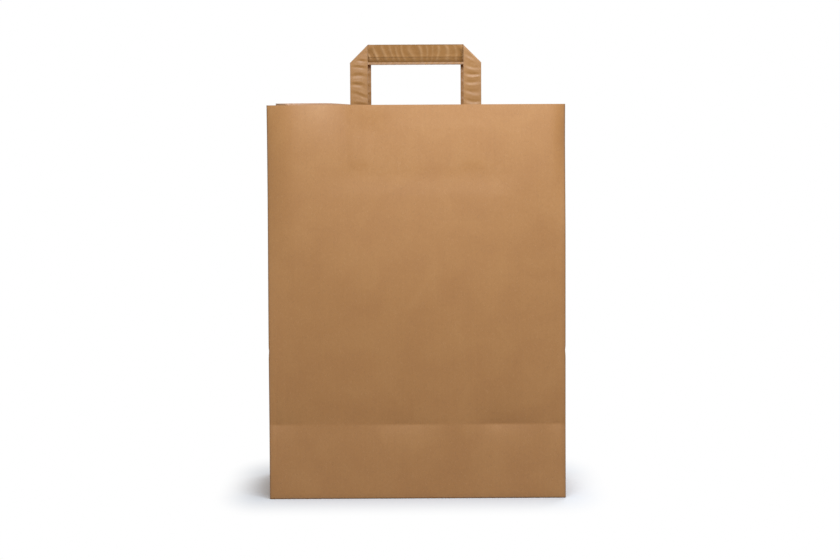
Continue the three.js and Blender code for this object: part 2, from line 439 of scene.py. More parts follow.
@dataclass
class BagBody:
    """The bag itself: one sheet folded round four panels, lapped at the back, with four bottom flaps.

    On the flat sheet, X runs anticlockwise round the bag from its rear left fold and Y up from the base.
    """

    width: float
    depth: float
    height: float  # along the paper, from the bottom fold to the mouth
    crease_inset: float = 2.0  # how far the crease across the front is drawn in
    seam_lap: float = 25.0
    seam_ramp: Pair = (0.05, 2.0)  # glue under the lap, and how far it climbs on to the panel
    seam_lift: Pair = (0.3, 4.0)  # how far its cut edge stands off, and over what width
    bottom_lap: float = 24.0  # overlap of the two long bottom flaps
    flap_ramp: float = 2.0  # length in which a bottom flap climbs to its level
    flap_gap: float = 0.02  # between flaps that lie on each other
    flap_taper: float = 0.998  # share of its width that a side flap keeps
    front_step: float = 3.2  # grid on the front panel
    other_step: float = 5.0  # grid elsewhere
    row_step: float = 4.0  # grid up the panels
    hem: float = 1.3  # grid line beside a fold
    mouth_draw: Pair = (7.8, 7.6)  # how far the left and right folds are drawn in at the mouth
    mouth_round: Pair = (32.0, 17.0)  # width of the rounding beside them
    mouth_hold: float = 0.25  # share of the draw that the stiff lip holds back
    lip_depth: float = 45.0  # how far down the lip is stiff
    left_reach: Pair = (70.0, 280.0)  # depths below the mouth between which it eases off
    right_reach: Pair = (20.0, 150.0)
    rear_rise: float = 2.7  # how far the mouth's cut runs up to the rear left corner
    rise_reach: Pair = (55.0, 110.0)
    lip_out: Bump = Bump(1.6, -49.0, 22.0)  # waves of the lips, and how far down they fade out
    lip_out_depth: float = 30.0
    lip_in: Bump = Bump(2.6, -97.0, 33.0)
    lip_in_depth: float = 56.0
    rear_lip: Bump = Bump(2.4, 118.0, 46.0)
    rear_lip_depth: float = 14.0
    dent: float = 0.5  # dents in the side folds where the folded-up base has pressed
    dent_half: float = 3.0
    bulge: float = 2.2  # how far the panels belly out
    bulge_level: float = 0.53  # share of the height at which they do
    bulge_spread: float = 95.0
    bulge_edge: float = 90.0  # the belly rises over this distance from the side folds
    swell: float = 0.7  # slow waves of the panels
    swell_size: float = 120.0
    cockle: float = 0.10  # quick waves of the panels
    cockle_size: float = 34.0
    seeds: Pair = (3.7, 11.3)  # of the front and the back panel's waves
    flat_reach: float = 30.0  # the panels lie flat this near to the base and to their folds
    quiet_side: Pair = (85.0, 115.0)  # they also do so at the glued patch, sideways and downwards
    quiet_end: Pair = (75.0, 100.0)
    gusset_wave: float = 0.8
    gusset_wave_size: float = 90.0
    gusset_seed: float = 21.0
    gusset_edge: float = 25.0
    gusset_foot: Pair = (5.0, 60.0)  # its waves come up between these heights over the crease
    crease_depth: float = 2.5
    crease_reach: Pair = (13.0, 20.0)  # how far it is felt below and above
    crease_edge: Pair = (-2.0, 8.0)  # it runs out between these distances from the side folds
    crease_set: float = 0.47  # how firmly it has set, with weak and firm stretches
    crease_stretches: tuple[Bump, ...] = (
        Bump(-0.36, -100.0, 40.0),
        Bump(-0.50, 47.0, 20.0),
        Bump(-0.25, 136.0, 9.0),
        Bump(0.45, -16.0, 22.0),
        Bump(0.60, 91.0, 24.0),
    )
    crease_end: Bump = Bump(0.60, 0.0, 14.0)  # firmer again at the side folds
    crease_play: float = 0.35
    crease_play_size: float = 13.0
    crease_seed: float = 61.0
    crease_soft: Bump = Bump(7.0, -92.0, 36.0)  # rounded where it has hardly set
    hollow: float = 0.6  # the panel sinks in a little round the crease
    hollows: tuple[Bump, ...] = (Bump(1.4, -140.0, 60.0), Bump(1.0, 100.0, 50.0))
    hollow_reach: Pair = (45.0, 26.0)
    leg_print: float = 0.45  # how far the handle's legs press the panel out, and between which places
    leg_inner: Pair = (47.0, 52.0)
    leg_outer: Pair = (69.0, 74.0)
    leg_end: Pair = (60.0, 70.0)
    print_edge: float = 10.0  # the prints fade out this near to the side folds
    patch_print: float = 0.12
    patch_side: Pair = (78.0, 84.0)
    patch_top: Pair = (16.0, 22.0)
    patch_end: Pair = (67.0, 74.0)
    wear_and_shade_reach: float = 1.6  # how far the darkening of a fold is seen, which is handling wear and painted shade of the rounded fold
    wear_and_shade_gain: float = 1.5
    folds: list[Fold] = field(init=False)

    def __post_init__(self) -> None:
        """Works out where every fold stands from the lengths of the paper."""
        half_width, half_depth = self.width / 2.0, self.depth / 2.0
        self.crease = half_depth
        self.lean = math.asin(self.crease_inset / half_depth)
        tilt = math.acos((1.0 - math.sin(self.lean)) / math.cos(self.lean))
        rise = half_depth * math.cos(self.lean)
        upper = self.height - half_depth
        front_y = self.crease_inset - half_depth
        self.front_mouth = Vector((0.0, front_y, rise + upper))
        rear_y = half_depth - self.height * math.sin(self.lean)
        self.rear_mouth = Vector((0.0, rear_y, self.height * math.cos(self.lean)))
        apex = Vector((half_width - half_depth * math.sin(tilt), 0.0, half_depth * math.cos(tilt)))
        half_mouth = (rear_y - front_y) / 2.0
        tuck = math.sqrt(half_depth**2 - half_mouth**2)
        middle = Vector((half_width - tuck, (front_y + rear_y) / 2.0, 0.0))
        spread = math.hypot(middle.x - apex.x, middle.y - apex.y)
        middle.z = apex.z + math.sqrt(upper**2 - spread**2)

        side_x = Vector((half_width, 0.0, 0.0))
        base = Vector((0.0, half_depth, 0.0))
        front = (side_x - base, side_x + Vector((0.0, front_y, rise)), side_x + self.front_mouth, True)
        rear = (side_x + base, side_x + Vector((0.0, -front_y, rise)), side_x + self.rear_mouth, True)
        gusset = (side_x, apex, middle, False)
        w, d = self.width, self.depth
        self.folds = []
        for along, side, (*points, corner) in (
            (0.0, -1, rear),
            (d / 2.0, -1, gusset),
            (d, -1, front),
            (d + w, 1, front),
            (d * 1.5 + w, 1, gusset),
            (d * 2.0 + w, 1, rear),
            (d * 2.0 + w * 2.0, -1, rear),
        ):
            flip = Matrix.Diagonal((side, 1.0, 1.0))
            self.folds.append(Fold(along, *(flip @ point for point in points), corner))
        self.round = self.folds[-1].along
        self.front_middle = d + w / 2.0
        self.rear_middle = d * 2.0 + w * 1.5

    def panel_matrix(self, side: Side) -> Matrix:
        """Gives the frame of a handle: X along the panel, Y from its inner face into the bag, Z up.

        Args:
            side: Front or back panel.

        Returns:
            The frame in millimetres, at the middle of the panel's mouth.
        """
        if side is Side.FRONT:
            return Matrix.Translation(self.front_mouth + Vector((0.0, PAPER, 0.0)))
        turn = Matrix.Rotation(self.lean, 4, "X") @ Matrix.Rotation(math.pi, 4, "Z")
        return Matrix.Translation(self.rear_mouth - Vector((0.0, PAPER, 0.0))) @ turn

    def drawn_in(self, up: float) -> Pair:
        """Gives how far the left and right folds are drawn in at a height on the sheet.

        Args:
            up: Height on the sheet.

        Returns:
            The left and the right distance.
        """
        below = self.height - up
        held = 1.0 - self.mouth_hold * fade(below, 0.0, self.lip_depth)
        left = self.mouth_draw[0] * fade(below, *self.left_reach)
        right = self.mouth_draw[1] * fade(below, *self.right_reach)
        return left * held, right * held

    def fold_at(self, fold: Fold, up: float) -> Vector:
        """Gives the place of a fold at a height on the sheet.

        Args:
            fold: The fold.
            up: Height on the sheet.

        Returns:
            The folded place.
        """
        if up <= self.crease:
            return fold.base.lerp(fold.crease, up / self.crease)
        place = fold.crease.lerp(fold.mouth, (up - self.crease) / (self.height - self.crease))
        if fold.corner:
            drawn = self.drawn_in(up)[fold.mouth.x > 0.0]
            dented = self.dent * bell(up - 2.0 * self.crease, self.dent_half)
            place.y -= math.copysign(drawn, fold.mouth.y)
            place.x -= math.copysign(dented, fold.mouth.x)
        return place

    def facet(self, panel: int, along: float, up: float) -> Vector:
        """Gives the place of a flat point on its facet, before any relief.

        Args:
            panel: Number of the panel, counted from the rear left fold.
            along: Place round the sheet.
            up: Height on the sheet.

        Returns:
            The folded place.
        """
        first, second = self.folds[panel], self.folds[panel + 1]
        share = (along - first.along) / (second.along - first.along)
        if up >= self.crease or first.corner == second.corner:
            return self.fold_at(first, up).lerp(self.fold_at(second, up), share)
        # Below the crease each half gusset folds once more, from its corner to the middle at the crease
        corner, middle = (first, second) if first.corner else (second, first)
        share = share if first.corner else 1.0 - share
        raised = up / self.crease
        if raised < share:
            return corner.base.lerp(middle.base, share) + (middle.crease - middle.base) * raised
        return corner.base.lerp(corner.crease, raised) + (middle.crease - corner.crease) * share

    def outward(self, panel: int, along: float, up: float) -> Vector:
        """Gives the outward direction of the facet at a flat point.

        Args:
            panel: Number of the panel, counted from the rear left fold.
            along: Place round the sheet.
            up: Height on the sheet.

        Returns:
            The direction, of length 1.
        """
        small = 0.01
        step = small if along + small <= self.folds[panel + 1].along else -small
        rise = small if up + small <= self.height else -small
        here = self.facet(panel, along, up)
        run = (self.facet(panel, along + step, up) - here) / step
        lift = (self.facet(panel, along, up + rise) - here) / rise
        return run.cross(lift).normalized()

    def handle_print(self, x: float, up: float) -> float:
        """Gives how far the legs and the patch behind a panel press it out.

        Args:
            x: Distance from the panel's middle line.
            up: Height on the sheet.

        Returns:
            The distance outwards.
        """
        away, below = abs(x), self.height - up
        leg = ease(away, *self.leg_inner) * fade(away, *self.leg_outer) * fade(below, *self.leg_end)
        patch = fade(away, *self.patch_side) * ease(below, *self.patch_top) * fade(below, *self.patch_end)
        return self.leg_print * leg + self.patch_print * patch

    def rounding(self, side: Side, x: float, up: float) -> float:
        """Gives how far a panel stands out from the line between its drawn-in folds.

        Args:
            side: Front or back panel.
            x: Distance from the panel's middle line.
            up: Height on the sheet.

        Returns:
            The distance outwards.
        """
        x = x if side is Side.FRONT else -x
        out = 0.0
        for sign, draw, reach in zip((-1.0, 1.0), self.drawn_in(up), self.mouth_round):
            edge = self.width / 2.0 - sign * x
            out += draw * (1.0 - edge / self.width - (1.0 - min(edge / reach, 1.0)) ** 2)
        return out

    def crease_firmness(self, x: float, edge: float) -> float:
        """Gives how firmly the crease across the front has set, along the panel.

        Args:
            x: Distance from the panel's middle line.
            edge: Distance from the nearer side fold.

        Returns:
            Its share of the full depth.
        """
        firm = self.crease_set + sum(bump.at(x) for bump in self.crease_stretches)
        play = self.crease_play * waviness(x, 0.0, self.crease_play_size, self.crease_seed)
        return firm + self.crease_end.at(edge) + play

    def panel_relief(self, side: Side, x: float, up: float, edge: float) -> float:
        """Gives how far a front or back panel stands out from its flat facet.

        Args:
            side: Front or back panel.
            x: Distance from the panel's middle line.
            up: Height on the sheet.
            edge: Distance from the nearer side fold.

        Returns:
            The distance outwards.
        """
        seed = self.seeds[side is Side.REAR]
        below = self.height - up
        quiet = fade(abs(x), *self.quiet_side) * fade(below, *self.quiet_end)
        base = ease(up, 0.0, self.flat_reach)
        free = ease(edge, 0.0, self.flat_reach) * (1.0 - quiet) * base
        out = self.swell * waviness(x, up, self.swell_size, seed) * free
        out += self.cockle * waviness(x, up, self.cockle_size, seed + 5.0) * free
        out += self.rounding(side, x, up)
        belly = self.bulge * bell(up - self.bulge_level * self.height, self.bulge_spread)
        out += belly * ease(edge, 0.0, self.bulge_edge) * (1.0 - quiet)
        out += self.handle_print(x, up) * ease(edge, 0.0, self.print_edge)
        if side is Side.REAR:
            return out + self.rear_lip.at(x) * max(0.0, 1.0 - below / self.rear_lip_depth) ** 2
        upper = up >= self.crease
        soft = self.crease_soft.at(x)
        away = math.hypot(up - self.crease, soft) - soft
        valley = self.crease_depth * self.crease_firmness(x, edge)
        valley *= math.exp(-away / self.crease_reach[upper])
        hollow = self.hollow + sum(bump.at(x) for bump in self.hollows)
        hollow *= math.exp(-away / self.hollow_reach[upper])
        out -= (valley + hollow) * ease(edge, *self.crease_edge) * base
        out += self.lip_out.at(x) * fade(below, 0.0, self.lip_out_depth)
        return out - self.lip_in.at(x) * max(0.0, 1.0 - below / self.lip_in_depth) ** 2

    def sunk(self, side: Side, x: float, up: float) -> float:
        """Gives how far a panel sinks into the bag behind its patch, or 0 where it stands out."""
        edge = self.width / 2.0 - abs(x)
        return max(0.0, self.rounding(side, x, up) - self.panel_relief(side, x, up, edge))

    def relief(self, panel: int, along: float, up: float) -> float:
        """Gives how far the sheet stands out from its flat facet at a flat point.

        Args:
            panel: Number of the panel, counted from the rear left fold.
            along: Place round the sheet.
            up: Height on the sheet.

        Returns:
            The distance outwards.
        """
        first, second = self.folds[panel], self.folds[panel + 1]
        edge = min(along - first.along, second.along - along)
        if first.corner and second.corner:
            side = Side.FRONT if along < self.rear_middle - self.width / 2.0 else Side.REAR
            middle = self.front_middle if side is Side.FRONT else self.rear_middle
            return self.panel_relief(side, along - middle, up, edge)
        free = ease(edge, 0.0, self.gusset_edge) * ease(up - self.crease, *self.gusset_foot)
        return self.gusset_wave * free * waviness(along, up, self.gusset_wave_size, self.gusset_seed)

    def panel_of(self, along: float) -> int:
        """Gives the number of the panel that a place on the sheet belongs to."""
        return max(i for i, fold in enumerate(self.folds[:-1]) if fold.along <= along)

    def cut_height(self, along: float, up: float) -> float:
        """Gives a height on the sheet after the mouth's cut, which runs up to the rear left corner.

        Args:
            along: Place round the sheet.
            up: Height on the sheet before it.

        Returns:
            The new height.
        """
        on_back = along > self.folds[-2].along
        away = self.round - along if on_back else 2.0 * along  # twice as fast on the narrow gusset
        return up + self.rear_rise * fade(away, *self.rise_reach) * ease(up, self.crease, self.height)

    def place(self, along: float, up: float) -> Vector:
        """Gives the folded place of a flat point.

        Args:
            along: Place round the sheet, below 0 on the seam's lap.
            up: Height on the sheet.

        Returns:
            The folded place.
        """
        lift = 0.0
        if along < 0.0:
            (glue, ramp), (stand, width) = self.seam_ramp, self.seam_lift
            lift = (PAPER + glue) * ease(-along, 0.0, ramp)
            lift += stand * ease(-along, self.seam_lap - width, self.seam_lap)
            along += self.round
        up = self.cut_height(along, up)
        panel = self.panel_of(along)
        out = self.relief(panel, along, up) + lift
        return self.facet(panel, along, up) + self.outward(panel, along, up) * out

    def wear_and_painted_light(self, along: float, up: float) -> float:
        """Gives the darkening at the nearest fold or cut edge at a flat point: handling wear and painted
        shade of the rounded folds.

        Args:
            along: Place round the sheet.
            up: Height on the sheet.

        Returns:
            The darkening, from 0 to 1.
        """
        reach = self.wear_and_shade_reach
        distance = min(abs(along - fold.along) for fold in self.folds)
        distance = min(distance, up, abs(along + self.seam_lap) + 0.5 * reach)
        return min(1.0, max(0.0, self.wear_and_shade_gain * (1.0 - distance / reach)))

    def flat_sheet(self) -> Sheet:
        """Lays out the flat sheet, with grid lines on every fold and the gussets' slanting folds cut in.

        Returns:
            The flat sheet.
        """
        foot = stations(0.0, self.crease, self.other_step, self.hem)
        d, w = self.depth, self.width
        gusset = joined(foot, [d - place for place in reversed(foot)])
        columns = joined(
            stations(-self.seam_lap, 0.0, self.other_step, self.hem),
            gusset,
            stations(d, d + w, self.front_step, self.hem),
            [d + w + place for place in gusset],
            stations(2.0 * d + w, self.round, self.other_step, self.hem),
        )
        rows = joined(foot, stations(self.crease, self.height, self.row_step, self.hem))
        sheet = laid_grid(columns, rows)
        for first, second in zip(self.folds, self.folds[1:]):
            if first.corner == second.corner:
                continue
            corner, slope = (first, -1.0) if first.corner else (second, 1.0)
            low = [face for face in sheet.faces if face.calc_center_median().y < self.crease]
            faces = [face for face in low if first.along < face.calc_center_median().x < second.along]
            edges = {edge for face in faces for edge in face.edges}
            verts = {vert for face in faces for vert in face.verts}
            bmesh.ops.bisect_plane(
                sheet,
                geom=faces + list(edges) + list(verts),
                dist=0.001,
                plane_co=(corner.along, 0.0, 0.0),
                plane_no=(1.0, slope, 0.0),
            )
        return sheet

    def add_flap(self, sheet: Sheet, inward: Vector, reach: float, level: float, narrowing: float) -> None:
        """Folds one bottom flap in under the bag.

        Args:
            sheet: The folded sheet, which is changed.
            inward: Direction from the flap's fold to the middle of the base.
            reach: Distance of the fold from the middle of the base.
            level: Height of the flap's outer face above the floor.
            narrowing: Share of its width that the flap has left at its end.
        """
        flat = sheet.loops.layers.uv.active
        length = self.depth / 2.0 + self.bottom_lap / 2.0
        near = 0.4 * self.hem
        edges = [
            edge
            for edge in sheet.edges
            if edge.is_boundary
            and all(v.co.z < TOUCH and abs(v.co.dot(inward) + reach) < near for v in edge.verts)
        ]
        runs = ((self.flap_ramp, level, 1.0), (length - self.flap_ramp, 0.0, narrowing))
        for distance, climb, kept in runs:
            grown = bmesh.ops.extrude_edge_only(sheet, edges=edges)["geom"]
            kinds = (bmesh.types.BMVert, bmesh.types.BMEdge, bmesh.types.BMFace)
            verts, edges, faces = ([part for part in grown if isinstance(part, kind)] for kind in kinds)
            edges = [edge for edge in edges if all(vert in verts for vert in edge.verts)]
            bmesh.ops.translate(sheet, vec=inward * distance + Vector((0.0, 0.0, climb)), verts=verts)
            keep = Vector((kept if inward.x == 0.0 else 1.0, kept if inward.y == 0.0 else 1.0, 1.0))
            bmesh.ops.scale(sheet, vec=keep, verts=verts)
            for face in faces:
                face.smooth = True
                face.normal_update()
                if face.normal.z > 0.0:
                    face.normal_flip()
                for loop in face.loops:
                    loop[flat].uv = (loop.vert.co.x * MM, loop.vert.co.y * MM)

    def build(self, material: Material) -> Piece:
        """Folds the sheet, closes its bottom and gives it the thickness of the paper.

        Args:
            material: Finish of the paper.

        Returns:
            The bag's body.
        """
        sheet = self.flat_sheet()
        fold_sheet(sheet, self.place, self.wear_and_painted_light)
        half_width, half_depth = self.width / 2.0, self.depth / 2.0
        trimmed = (self.width - self.depth) / self.width
        ply = PAPER + self.flap_gap
        # The back flap comes last, because the side of its level ramp would be taken for a side flap's fold
        for inward, reach, level, kept in (
            ((1.0, 0.0, 0.0), half_width, 2.0 * ply, self.flap_taper),
            ((-1.0, 0.0, 0.0), half_width, 2.0 * ply, self.flap_taper),
            ((0.0, 1.0, 0.0), half_depth, ply, trimmed),
            ((0.0, -1.0, 0.0), half_depth, 0.0, trimmed),
        ):
            self.add_flap(sheet, Vector(inward), reach, level, kept)
        thicken(sheet, PAPER)
        return finished(sheet, "bag_body_sheet", material)


@dataclass(frozen=True)
class Crinkle:
    """Crinkles that run across a strip."""

    height: float
    pitch: float
    slant: float  # in pitches over the strip's width
    drift: float  # how far the pitch drifts
    hold: Pair  # within this reach of its edges, the strip holds them down to a share


@dataclass
class Handle:
    """A flat handle: one strip folded lengthways into a band, turned over at two corners like a ribbon.

    On the flat strip, X runs along it from the left leg's end. Y runs across it, from the edge that is
    outside on the legs and under the bar.
    """

    side: Side
    width: float  # over the outer edges of the legs
    rise: float  # mouth to the top of the bar
    tuck: float  # length of the legs inside the mouth
    bar_tilt: float  # degrees that the bar's lower edge swings into the bag
    bar_curl: float  # how sharply that edge curls in below the raw edge
    bar_gap: float  # how far the bar hollows beside its right leg
    strip: float = 19.0
    plies: int = 5  # in the band, without the last one
    last_ply: float = 14.0  # width of the last ply, from its fold to its raw edge
    bend: float = 0.875  # radius of the folded corners at the middle of the band
    step: float = 1.0  # grid along the strip
    corner_step: float = 0.62  # square cells at the corners, whose diagonals lie along the folds
    corner_lead: float = 2.0  # those cells begin this far before a corner
    corner_over: float = 6.0  # and their run is this much longer than the strip is wide
    corner_margin: float = 1.0  # they are split along the fold up to this far from it
    end_hem: float = 0.4  # grid line beside an end
    edge_hem: float = 0.25  # grid line beside a long edge
    loosening: Pair = (0.5, 6.0)  # distances from a folded corner between which the band comes loose
    tilt_run: float = 7.0  # past a corner, the bar swings out over this length
    gap_half: float = 1.5  # spread of the hollow beside the right leg, and its distance from the leg
    gap_off: float = 1.0
    leg: Crinkle = Crinkle(0.34, 9.8, 0.35, 0.6, (7.0, 0.25))
    leg_play: Triple = (0.15, 0.75, 8.0)  # least and middle share of their height, and size of its play
    leg_skew: float = 0.6  # how fast that play changes across the strip
    leg_overtone: Pair = (0.4, 0.8)  # share and shift of a second wave that makes one flank steeper
    leg_glued: Pair = (45.0, 62.0)  # a leg's glued end is pressed flatter up to here
    glued_share: float = 0.25
    bar: Crinkle = Crinkle(0.7, 7.4, 0.5, 0.85, (4.0, 0.35))
    bar_play: Triple = (0.7, 0.6, 12.0)  # middle share of their height, play and its size
    bar_sharp: float = 2.0  # how narrow their crests are
    drift_size: float = 24.0
    fine_crinkle: float = 0.12  # fine uneven waves between the crinkles
    fine_size: float = 6.0
    raw_lift: float = 0.22  # how far the last ply's raw edge stands off the band
    raw_width: float = 3.5
    ply_gap: float = 0.01  # between the band and the last ply
    edge_dark_reach: float = 0.9  # how far the darkening along its long edges is seen
    seeds: Pair = (31.0, 47.0)  # of the front and the rear handle's crinkles

    def __post_init__(self) -> None:
        """Works out the strip's flat length and where its corners fold."""
        self.thickness = self.plies * PAPER
        self.seed = self.seeds[self.side is Side.REAR]
        over = math.pi * self.bend / math.sqrt(2.0)
        self.fold_up = self.rise - self.strip - over
        self.length = 2.0 * (self.tuck + self.fold_up + self.width / 2.0 + over)

    def past_fold(self, along: float, across: float) -> float:
        """Gives how far a point of the strip lies past the nearer diagonal fold, below 0 on the legs."""
        run = min(along, self.length - along)
        return (run - self.tuck - self.fold_up - across) / math.sqrt(2.0)

    def looseness(self, along: float, across: float) -> float:
        """Gives 0 in a folded corner, where the band is pressed tight, rising to 1 away from it."""
        half = math.pi * self.bend / 2.0
        return ease(abs(self.past_fold(along, across) - half), *(half + part for part in self.loosening))

    def held(self, crinkle: Crinkle, across: float) -> float:
        """Gives 1 in the middle of the strip, sinking to a share towards its edges."""
        reach, share = crinkle.hold
        return share + (1.0 - share) * ease(min(across, self.strip - across), 0.0, reach)

    def turns(self, crinkle: Crinkle, along: float, across: float) -> float:
        """Counts the crinkles up to a point of the strip."""
        shift = crinkle.drift * waviness(along, across, self.drift_size, self.seed)
        return along / crinkle.pitch + crinkle.slant * across / self.strip + shift

    def bar_crest(self, along: float, across: float) -> float:
        """Gives how near a point of the bar is to the crest of a crinkle, from 0 to about 1.

        Args:
            along: Distance from the left leg's end.
            across: Distance from the outer edge.

        Returns:
            The nearness, which is 0 in the folded corners.
        """
        middle, spread, size = self.bar_play
        play = middle + spread * waviness(along, across, size, self.seed + 4.0)
        turns = self.turns(self.bar, along, across)
        loose = self.looseness(along, across) * self.held(self.bar, across)
        return loose * play * math.exp(-((self.bar_sharp * math.sin(math.pi * turns)) ** 2))

    def crinkles(self, along: float, across: float) -> float:
        """Gives the height of the band's crinkles, which run across the strip.

        Args:
            along: Distance from the left leg's end.
            across: Distance from the outer edge.

        Returns:
            The height, towards the panel on the legs.
        """
        loose = self.looseness(along, across)
        held = loose * self.held(self.leg, across)
        fine = self.fine_crinkle * waviness(along, across, self.fine_size, self.seed + 9.0)
        if self.past_fold(along, across) > 0.0:
            beside_leg = self.width / 2.0 - self.strip - self.gap_off
            gap = self.bar_gap * bell(along - self.length / 2.0 - beside_leg, self.gap_half) * loose
            return gap + held * fine - self.bar.height * self.bar_crest(along, across)
        least, middle, size = self.leg_play
        play = max(least, middle + waviness(along, self.leg_skew * across, size, self.seed + 4.0))
        turns = self.turns(self.leg, along, across)
        share, shift = self.leg_overtone
        crest = math.sin(math.tau * turns) + share * math.sin(2.0 * math.tau * turns + shift)
        free = ease(min(along, self.length - along), *self.leg_glued)
        free = self.glued_share + (1.0 - self.glued_share) * free
        return held * free * (self.leg.height * crest * play + fine)

    def place(self, along: float, across: float, out: float) -> Vector:
        """Gives the folded place of a point of the flat strip.

        Args:
            along: Distance from the left leg's end.
            across: Distance from the outer edge.
            out: Distance from the middle of the band, towards the panel on the legs.

        Returns:
            The place in the panel's frame.
        """
        beyond = self.past_fold(along, across)
        beside = beyond + across * math.sqrt(2.0)
        half_turn = math.pi * self.bend
        turned = min(max(beyond, 0.0), half_turn) / self.bend
        rest = min(beyond, 0.0) - max(beyond - half_turn, 0.0)
        reach = rest + (self.bend + out) * math.sin(turned)
        deep = self.bend - (self.bend + out) * math.cos(turned)
        diagonal = math.sqrt(0.5)
        x = (beside - reach) * diagonal - self.width / 2.0
        place = Vector((x, GLUE + self.thickness / 2.0 + deep, self.fold_up + (beside + reach) * diagonal))
        swung = ease(beyond, half_turn, half_turn + self.tilt_run)
        tilt = math.radians(self.bar_tilt) * swung
        curled = max(0.0, self.strip - self.last_ply - across)
        place.y += (self.strip - across) * math.sin(tilt) + self.bar_curl * curled**2 * swung
        place.z += (self.strip - across) * (1.0 - math.cos(tilt))
        if along > self.length / 2.0:
            place.x = -place.x
        return place

    def along_stations(self) -> list[float]:
        """Places grid lines along the strip, closer together at the folded corners.

        Returns:
            The places of all lines in rising order.
        """
        start = self.tuck + self.fold_up - self.corner_lead
        end = start + self.strip + self.corner_over
        middle = self.length / 2.0
        half = joined(
            stations(0.0, start, self.step, self.end_hem),
            stations(start, end, self.corner_step, self.corner_step),
            stations(end, middle, self.step, self.step),
        )
        return joined(half, [self.length - place for place in reversed(half)])

    def ply(self, inner: float, outer: float, face: Spread, thickness: float) -> Sheet:
        """Makes one flat run of the strip and folds it.

        Args:
            inner: Place of its first edge across the strip.
            outer: Place of its second edge.
            face: Gives the distance of its panel-side face from the middle of the band.
            thickness: Its thickness.

        Returns:
            The folded run, closed all round.
        """
        rows = stations(inner, outer, self.corner_step, self.edge_hem)
        sheet = laid_grid(self.along_stations(), rows)

        def place(along: float, across: float) -> Vector:
            """Gives the folded place of a point of this run's face."""
            return self.place(along, across, face(along, across) + self.crinkles(along, across))

        def wear_and_painted_light(along: float, across: float) -> float:
            """Gives the darkening of the run's long edges, and below 0 a painted highlight on the crests of
            the bar's crinkles.

            Args:
                along: Distance from the left leg's end.
                across: Distance from the outer edge.

            Returns:
                The darkening, up to 1.
            """
            dark = max(0.0, 1.0 - min(across - inner, outer - across) / self.edge_dark_reach)
            # Painted highlight: the bar's crinkle crests are paled as if lit
            pale = self.bar_crest(along, across) if self.past_fold(along, across) > 0.0 else 0.0
            return dark - pale

        end = math.pi * self.bend + self.corner_margin
        for cell in sheet.faces[:]:
            if -self.corner_margin < self.past_fold(*cell.calc_center_median().xy) < end:
                by_fold = sorted(cell.verts, key=lambda vert: self.past_fold(*vert.co.xy))
                bmesh.utils.face_split(cell, by_fold[1], by_fold[2])
        fold_sheet(sheet, place, wear_and_painted_light, grain_along=True)
        sheet.normal_update()
        bmesh.ops.recalc_face_normals(sheet, faces=sheet.faces[:])
        leg_face = min(sheet.faces, key=lambda face: face.calc_center_median().z)
        if leg_face.normal.y > 0.0:
            bmesh.ops.reverse_faces(sheet, faces=sheet.faces[:])
        thicken(sheet, thickness)
        return sheet

    def build(self, panel: Matrix, material: Material) -> Piece:
        """Builds the band and its last ply.

        Args:
            panel: Frame of the panel that carries the handle, in millimetres.
            material: Finish of the band.

        Returns:
            The handle.
        """
        half = self.thickness / 2.0
        raw_edge = self.strip - self.last_ply
        band = self.ply(0.0, self.strip, lambda along, across: half, self.thickness)

        def last_face(along: float, across: float) -> float:
            """Lays the last ply behind the legs, with its raw edge standing off."""
            lift = self.raw_lift * self.looseness(along, across)
            return -half - self.ply_gap - lift * fade(across, raw_edge, raw_edge + self.raw_width)

        flap = self.ply(raw_edge, self.strip, last_face, PAPER)
        shell = bpy.data.meshes.new("last_ply")
        flap.to_mesh(shell)
        flap.free()
        band.from_mesh(shell)
        bpy.data.meshes.remove(shell)
        bmesh.ops.transform(band, matrix=panel, verts=band.verts)
        return finished(band, f"{self.side.value}_handle_band", material)


@dataclass
class HandlePatch:
    """A patch of kraft glued over both legs of a handle, inside the mouth."""

    side: Side
    handle: Handle
    body: BagBody
    margin: float = 10.0
    height: float = 50.0
    drop: float = 20.0  # mouth to the patch's upper edge
    ramp: float = 4.5  # length in which it climbs from the panel on to a leg
    step: float = 2.0
    hem: float = 0.4  # grid line beside an edge
    cockle: float = 0.12
    cockle_size: float = 14.0

    def stand(self, x: float, z: float) -> float:
        """Gives how far the patch stands off the panel's flat place.

        Args:
            x: Distance from the panel's middle line.
            z: Height above the mouth.

        Returns:
            The distance into the bag.
        """
        outer = self.handle.width / 2.0
        inner = outer - self.handle.strip
        over = ease(abs(x), inner - self.ramp, inner) * fade(abs(x), outer, outer + self.ramp)
        climb = self.handle.thickness + 2.0 * PAPER + GLUE
        loose = self.cockle * (1.0 + waviness(x, z, self.cockle_size, self.handle.seed + 2.0))
        sunk = self.body.sunk(self.side, x, self.body.height + z)
        return GLUE + climb * over + loose * over + sunk

    def build(self, panel: Matrix, material: Material) -> Piece:
        """Presses a sheet over the legs and gives it the thickness of the paper.

        Args:
            panel: Frame of the panel that carries the patch, in millimetres.
            material: Finish of the paper.

        Returns:
            The patch.
        """
        half = self.handle.width / 2.0 + self.margin
        top = -self.drop
        columns = stations(-half, half, self.step, self.hem)
        rows = stations(top - self.height, top, self.step, self.hem)
        sheet = laid_grid(columns, rows)
        fold_sheet(sheet, lambda x, z: Vector((x, self.stand(x, z), z)), lambda x, z: 0.0)
        sheet.normal_update()
        bmesh.ops.reverse_faces(sheet, faces=[face for face in sheet.faces if face.normal.y > 0.0])
        thicken(sheet, PAPER)
        bmesh.ops.transform(sheet, matrix=panel, verts=sheet.verts)
        return finished(sheet, f"{self.side.value}_patch_sheet", material)


